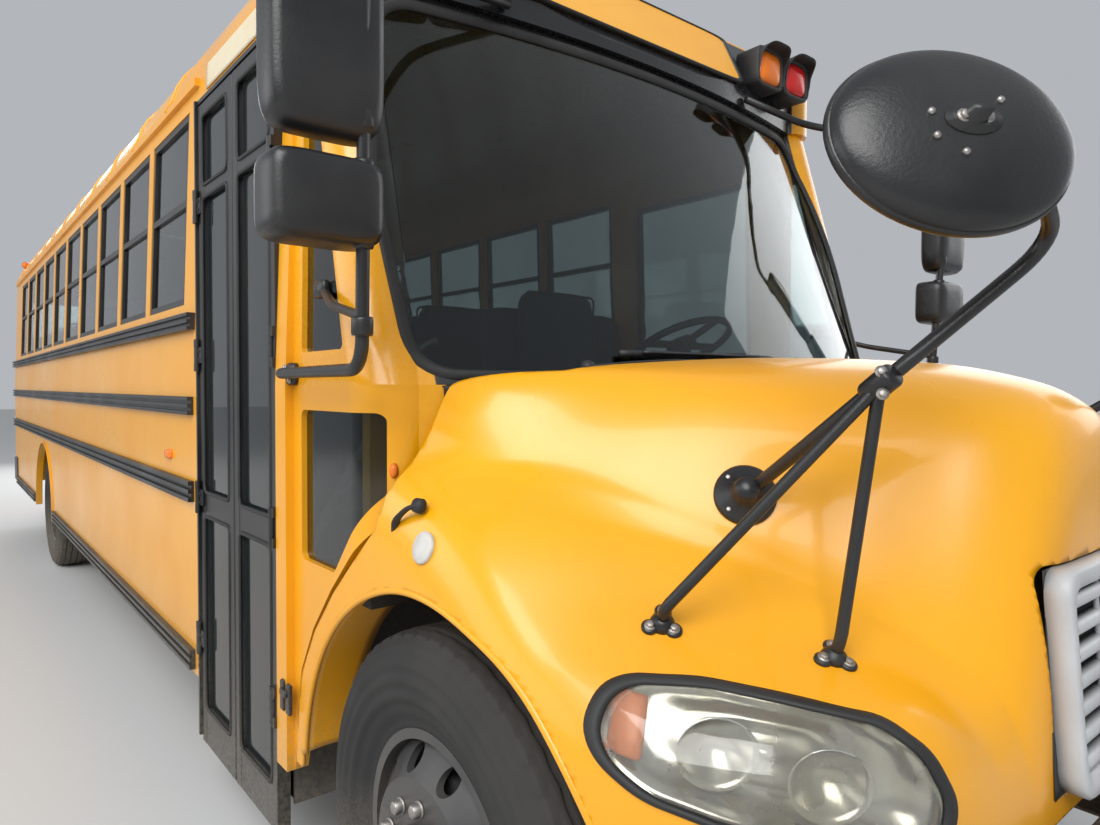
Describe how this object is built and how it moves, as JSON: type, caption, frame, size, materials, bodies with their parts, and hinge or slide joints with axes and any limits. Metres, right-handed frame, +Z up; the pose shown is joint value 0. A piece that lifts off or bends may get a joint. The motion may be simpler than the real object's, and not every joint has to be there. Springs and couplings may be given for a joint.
{
  "type": "school bus",
  "caption": "Full-size school bus with a conventional tilting hood, entrance door beside the cowl, rows of benches and an emergency door at the rear.",
  "frame": {"origin": "on the ground under the middle of the overall length and width", "axes": "+X forwards along the bus, +Y towards the driver's side, +Z up"},
  "size_m": [10.55, 3.01, 3.2039],
  "materials": {
    "body_yellow": "semi-gloss",
    "black_metal": "satin",
    "white_steel": "satin",
    "chassis_black": "matt",
    "tinted_glass": "polished",
    "lamp_lens": "polished",
    "headlamp_lens": "polished",
    "black_plastic": "matt",
    "grille_grey": "satin",
    "tyre_rubber": "matt",
    "seat_vinyl": "satin",
    "floor_black": "matt",
    "tread_metal": "satin",
    "stop_red": "gloss",
    "tank_steel": "matt",
    "exhaust_steel": "rusty",
    "sign_orange": "satin"
  },
  "bodies": {
    "body": {"chassis_frame": "chassis_black", "driveline": "chassis_black", "front_axle": "chassis_black", "rear_axle": "chassis_black", "leaf_springs": "chassis_black", "fuel_tank": "tank_steel", "exhaust": "exhaust_steel", "front_bumper": "black_metal", "rear_bumper": "black_metal", "tow_eyes": "chassis_black", "floor": "floor_black", "wheel_boxes": "floor_black", "stepwell": "tread_metal", "side_wall_right": "body_yellow", "side_wall_left": "body_yellow", "roof": "body_yellow", "front_cap": "body_yellow", "cowl": "body_yellow", "cowl_vent": "black_plastic", "cowl_windows": "tinted_glass", "rear_wall": "body_yellow", "rear_glass": "tinted_glass", "windshield": "tinted_glass", "window_frames": "black_metal", "window_glass": "tinted_glass", "rub_rails": "black_metal", "door_frame": "black_metal", "passenger_seats_right": "seat_vinyl", "passenger_seats_left": "seat_vinyl", "driver_seat": "seat_vinyl", "dashboard": "black_plastic", "steering_wheel": "black_plastic", "side_mirrors": "black_metal", "signs": "sign_orange", "lamps": "lamp_lens", "wipers": "black_plastic"},
    "hood": {"hood": "body_yellow", "grille": "grille_grey", "headlamps": "headlamp_lens", "crossview_mirrors": "black_metal"},
    "knuckle_left": {"knuckle_left": "chassis_black"},
    "knuckle_right": {"knuckle_right": "chassis_black"},
    "wheel_front_left": {"tyre_front_left": "tyre_rubber", "rim_front_left": "white_steel"},
    "wheel_front_right": {"tyre_front_right": "tyre_rubber", "rim_front_right": "white_steel"},
    "wheels_rear_left": {"tyre_rear_inner_left": "tyre_rubber", "tyre_rear_outer_left": "tyre_rubber", "rim_rear_left": "white_steel"},
    "wheels_rear_right": {"tyre_rear_inner_right": "tyre_rubber", "tyre_rear_outer_right": "tyre_rubber", "rim_rear_right": "white_steel"},
    "door_leaf_front": {"door_leaf_front": "black_metal"},
    "door_leaf_rear": {"door_leaf_rear": "black_metal"},
    "rear_door": {"rear_door": "body_yellow"},
    "stop_arm": {"stop_arm": "stop_red"},
    "roof_hatch_front": {"roof_hatch_front": "body_yellow"},
    "roof_hatch_rear": {"roof_hatch_rear": "body_yellow"}
  },
  "joints": [
    {"name": "steer_left", "type": "hinge", "parent": "body", "child": "knuckle_left", "pos_m": [4.21, 0.9, 0.52], "axis": [0, 0, 1], "range_deg": [-40, 40]},
    {"name": "steer_right", "type": "hinge", "parent": "body", "child": "knuckle_right", "pos_m": [4.21, -0.9, 0.52], "axis": [0, 0, 1], "range_deg": [-40, 40]},
    {"name": "spin_front_left", "type": "hinge", "parent": "knuckle_left", "child": "wheel_front_left", "pos_m": [4.21, 1.04, 0.52], "axis": [0, 1, 0], "continuous": true},
    {"name": "spin_front_right", "type": "hinge", "parent": "knuckle_right", "child": "wheel_front_right", "pos_m": [4.21, -1.04, 0.52], "axis": [0, 1, 0], "continuous": true},
    {"name": "spin_rear_left", "type": "hinge", "parent": "body", "child": "wheels_rear_left", "pos_m": [-2.369, 0.874, 0.52], "axis": [0, 1, 0], "continuous": true},
    {"name": "spin_rear_right", "type": "hinge", "parent": "body", "child": "wheels_rear_right", "pos_m": [-2.369, -0.874, 0.52], "axis": [0, 1, 0], "continuous": true},
    {"name": "hood_tilt", "type": "hinge", "parent": "body", "child": "hood", "pos_m": [5.19, 0, 0.735], "axis": [0, 1, 0], "range_deg": [0, 60]},
    {"name": "door_front", "type": "hinge", "parent": "body", "child": "door_leaf_front", "pos_m": [3.404, -1.222, 1.4], "axis": [0, 0, 1], "range_deg": [0, 90]},
    {"name": "door_rear", "type": "hinge", "parent": "body", "child": "door_leaf_rear", "pos_m": [2.606, -1.222, 1.4], "axis": [0, 0, 1], "range_deg": [-90, 0]},
    {"name": "rear_door_swing", "type": "hinge", "parent": "body", "child": "rear_door", "pos_m": [-5.201, -0.469, 1.8], "axis": [0, 0, 1], "range_deg": [0, 110]},
    {"name": "stop_arm_swing", "type": "hinge", "parent": "body", "child": "stop_arm", "pos_m": [2.32, 1.261, 1.357], "axis": [0, 0, -1], "range_deg": [0, 90]},
    {"name": "hatch_front_lift", "type": "hinge", "parent": "body", "child": "roof_hatch_front", "pos_m": [1.272, 0, 3.191], "axis": [0, 1, 0], "range_deg": [0, 100]},
    {"name": "hatch_rear_lift", "type": "hinge", "parent": "body", "child": "roof_hatch_rear", "pos_m": [-2.578, 0, 3.191], "axis": [0, 1, 0], "range_deg": [0, 100]}
  ],
  "couplings": [
    {"joint": "steer_right", "follows": "steer_left", "ratio": 1},
    {"joint": "door_rear", "follows": "door_front", "ratio": -1}
  ]
}
